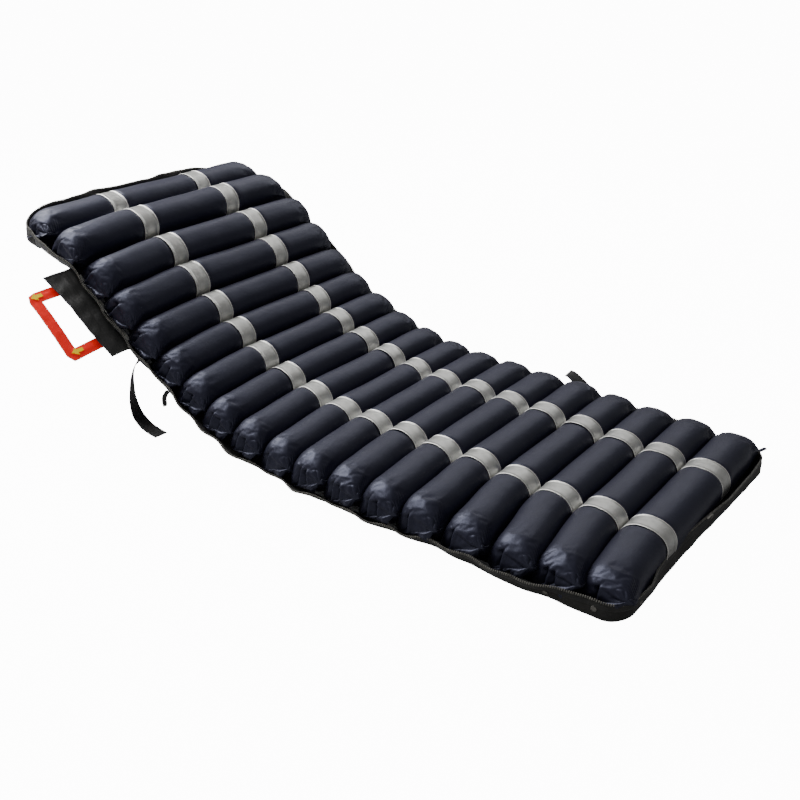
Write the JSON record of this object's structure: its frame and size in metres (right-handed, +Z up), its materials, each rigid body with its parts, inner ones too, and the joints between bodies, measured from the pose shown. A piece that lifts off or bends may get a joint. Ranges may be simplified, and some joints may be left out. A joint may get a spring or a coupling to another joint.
{
  "type": "pressure relief mattress",
  "caption": "Alternating air mattress overlay: a zipped black fabric tray of inflated cross cells under silver straps, with a raised, curved back section.",
  "frame": {"origin": "on the underside of the tray, at mid width, under the fourth air cell from the foot", "axes": "+X towards the foot end, +Y towards the side without the release handle, +Z up from the bed"},
  "size_m": [1.9284, 1.0629, 0.533],
  "materials": {
    "cell_nylon": "satin, coated nylon",
    "tray_fabric": "matt, coated oxford cloth",
    "silver_webbing": "satin woven tape",
    "black_webbing": "matt woven webbing",
    "red_vinyl": "soft gloss vinyl, with plain yellow arrows",
    "pale_plastic": "moulded plastic",
    "clear_hose": "soft hose",
    "zip_metal": "dark zinc"
  },
  "bodies": {
    "foot_section": {"base_foot_section": "tray_fabric", "air_cell_01": "cell_nylon", "air_cell_02": "cell_nylon", "air_cell_03": "cell_nylon", "air_cell_04": "cell_nylon", "air_cell_05": "cell_nylon", "air_cell_06": "cell_nylon", "air_cell_07": "cell_nylon", "air_cell_08": "cell_nylon", "near_strip_foot_section": "silver_webbing", "far_strip_foot_section": "silver_webbing", "air_hose_foot": "clear_hose", "pump_coupling": "pale_plastic"},
    "bend_1": {"base_bend_1": "tray_fabric", "air_cell_09": "cell_nylon", "near_strip_bend_1": "silver_webbing", "far_strip_bend_1": "silver_webbing"},
    "bend_2": {"base_bend_2": "tray_fabric", "air_cell_10": "cell_nylon", "near_strip_bend_2": "silver_webbing", "far_strip_bend_2": "silver_webbing"},
    "bend_3": {"base_bend_3": "tray_fabric", "air_cell_11": "cell_nylon", "near_strip_bend_3": "silver_webbing", "far_strip_bend_3": "silver_webbing"},
    "bend_4": {"base_bend_4": "tray_fabric", "air_cell_12": "cell_nylon", "near_strip_bend_4": "silver_webbing", "far_strip_bend_4": "silver_webbing", "cord_loop": "black_webbing"},
    "bend_5": {"base_bend_5": "tray_fabric", "air_cell_13": "cell_nylon", "near_strip_bend_5": "silver_webbing", "far_strip_bend_5": "silver_webbing"},
    "back_section": {"base_back_section": "tray_fabric", "air_cell_14": "cell_nylon", "air_cell_15": "cell_nylon", "air_cell_16": "cell_nylon", "near_strip_back_section": "silver_webbing", "far_strip_back_section": "silver_webbing", "cpr_valve_block": "pale_plastic", "air_hose_back": "clear_hose"},
    "head_1": {"base_head_1": "tray_fabric", "air_cell_17": "cell_nylon", "near_strip_head_1": "silver_webbing", "far_strip_head_1": "silver_webbing"},
    "head_2": {"base_head_2": "tray_fabric", "air_cell_18": "cell_nylon", "near_strip_head_2": "silver_webbing", "far_strip_head_2": "silver_webbing"},
    "cpr_flap_body": {"cpr_flap": "tray_fabric"},
    "cpr_pull": {"cpr_pull_handle": "red_vinyl", "cpr_plug_a": "pale_plastic", "cpr_plug_b": "pale_plastic"},
    "near_strap": {"hold_down_strap_near": "black_webbing"},
    "far_foot_strap": {"hold_down_strap_far_foot": "black_webbing"},
    "far_back_strap": {"hold_down_strap_far_back": "black_webbing"},
    "zip_slider_body": {"zip_slider": "zip_metal"},
    "zip_tab": {"zip_pull_tab": "zip_metal"}
  },
  "joints": [
    {"name": "back_hinge_1", "type": "hinge", "parent": "foot_section", "child": "bend_1", "pos_m": [-0.495, 0, 0], "axis": [0, 1, 0], "range_deg": [-6.2, 3.8], "stiffness_Nm_per_rad": 150, "springref_deg": 7.07, "deforming": ["air_hose_back"]},
    {"name": "back_hinge_2", "type": "hinge", "parent": "bend_1", "child": "bend_2", "pos_m": [-0.60436, 0, 0.01188], "axis": [0, 1, 0], "range_deg": [-6.2, 3.8], "stiffness_Nm_per_rad": 150, "springref_deg": 5.56, "deforming": ["air_hose_back"]},
    {"name": "back_hinge_3", "type": "hinge", "parent": "bend_2", "child": "bend_3", "pos_m": [-0.71179, 0, 0.0355], "axis": [0, 1, 0], "range_deg": [-6.2, 3.8], "stiffness_Nm_per_rad": 150, "springref_deg": 4.24, "deforming": ["air_hose_back"]},
    {"name": "back_hinge_4", "type": "hinge", "parent": "bend_3", "child": "bend_4", "pos_m": [-0.81605, 0, 0.07059], "axis": [0, 1, 0], "range_deg": [-6.2, 3.8], "stiffness_Nm_per_rad": 150, "springref_deg": 3.12, "deforming": ["air_hose_back"]},
    {"name": "back_hinge_5", "type": "hinge", "parent": "bend_4", "child": "bend_5", "pos_m": [-0.9159, 0, 0.11673], "axis": [0, 1, 0], "range_deg": [-6.2, 3.8], "stiffness_Nm_per_rad": 150, "springref_deg": 2.2, "deforming": ["air_hose_back"]},
    {"name": "back_hinge_6", "type": "hinge", "parent": "bend_5", "child": "back_section", "pos_m": [-1.01019, 0, 0.17338], "axis": [0, 1, 0], "range_deg": [-6.2, 3.8], "stiffness_Nm_per_rad": 150, "springref_deg": 1.48, "deforming": ["air_hose_back"]},
    {"name": "head_hinge_1", "type": "hinge", "parent": "back_section", "child": "head_1", "pos_m": [-1.27304, 0, 0.3729], "axis": [0, -1, 0], "range_deg": [-18, 8.1], "stiffness_Nm_per_rad": 20, "springref_deg": -2.06},
    {"name": "head_hinge_2", "type": "hinge", "parent": "head_1", "child": "head_2", "pos_m": [-1.37692, 0, 0.40907], "axis": [0, -1, 0], "range_deg": [-12, 5.4], "stiffness_Nm_per_rad": 20, "springref_deg": -0.55},
    {"name": "cpr_flap_lift", "type": "hinge", "parent": "back_section", "child": "cpr_flap_body", "pos_m": [-1.15377, -0.4276, 0.31501], "axis": [-0.7965, 0, 0.6046], "range_deg": [0, 88]},
    {"name": "cpr_pull_out", "type": "slide", "parent": "back_section", "child": "cpr_pull", "axis": [0, -1, 0], "range_m": [0, 0.06]},
    {"name": "near_strap_swing", "type": "hinge", "parent": "bend_5", "child": "near_strap", "pos_m": [-1.00573, -0.4456, 0.17303], "axis": [0, 1, 0], "range_deg": [-20, 20]},
    {"name": "far_foot_strap_swing", "type": "hinge", "parent": "foot_section", "child": "far_foot_strap", "pos_m": [-0.078, 0.4456, 0.032], "axis": [0, 1, 0], "range_deg": [-38, 60]},
    {"name": "far_back_strap_swing", "type": "hinge", "parent": "foot_section", "child": "far_back_strap", "pos_m": [-0.438, 0.4456, 0.038], "axis": [0, 1, 0], "range_deg": [0, 70]},
    {"name": "zip_slide", "type": "slide", "parent": "foot_section", "child": "zip_slider_body", "axis": [0, -1, 0], "range_m": [-0.3, 0.38]},
    {"name": "zip_tab_turn", "type": "hinge", "parent": "zip_slider_body", "child": "zip_tab", "pos_m": [0.4111, 0.04, 0.0499], "axis": [0, 0, 1], "range_deg": [-90, 90]}
  ],
  "couplings": [
    {"joint": "back_hinge_2", "follows": "back_hinge_1", "ratio": 1},
    {"joint": "back_hinge_3", "follows": "back_hinge_1", "ratio": 1},
    {"joint": "back_hinge_4", "follows": "back_hinge_1", "ratio": 1},
    {"joint": "back_hinge_5", "follows": "back_hinge_1", "ratio": 1},
    {"joint": "back_hinge_6", "follows": "back_hinge_1", "ratio": 1},
    {"joint": "head_hinge_2", "follows": "head_hinge_1", "ratio": 0.66667}
  ]
}
